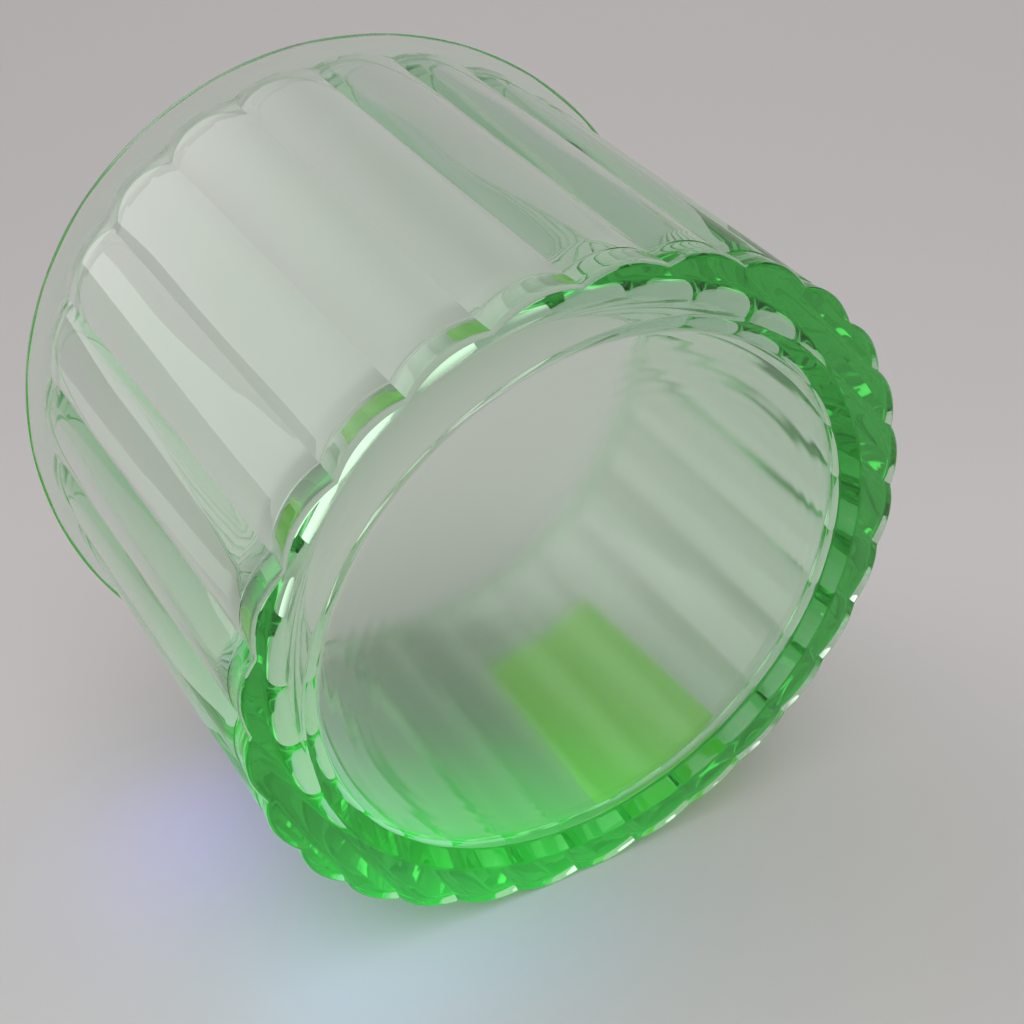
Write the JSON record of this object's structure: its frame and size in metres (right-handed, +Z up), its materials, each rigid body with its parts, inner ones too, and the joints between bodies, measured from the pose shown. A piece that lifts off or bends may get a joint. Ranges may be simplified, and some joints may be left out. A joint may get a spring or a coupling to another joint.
{
  "type": "ribbed glass refrigerator dish",
  "caption": "Round open-topped dish of pressed green glass with upright convex ribs, a plain collar at the mouth and a recess under its foot, with a blank price label on its wall.",
  "frame": {"origin": "centre of the foot, in the plane that the dish stands on", "axes": "+Z up along the dish's axis, from the foot to the mouth; a rib's crest lies on +X"},
  "size_m": [0.1462, 0.1462, 0.095],
  "materials": {
    "glass": "pressed and fire-polished, clear pale green",
    "label": "matt fluorescent paper, blank"
  },
  "bodies": {
    "root": {"dish": "glass", "price_label": "label"}
  },
  "joints": []
}
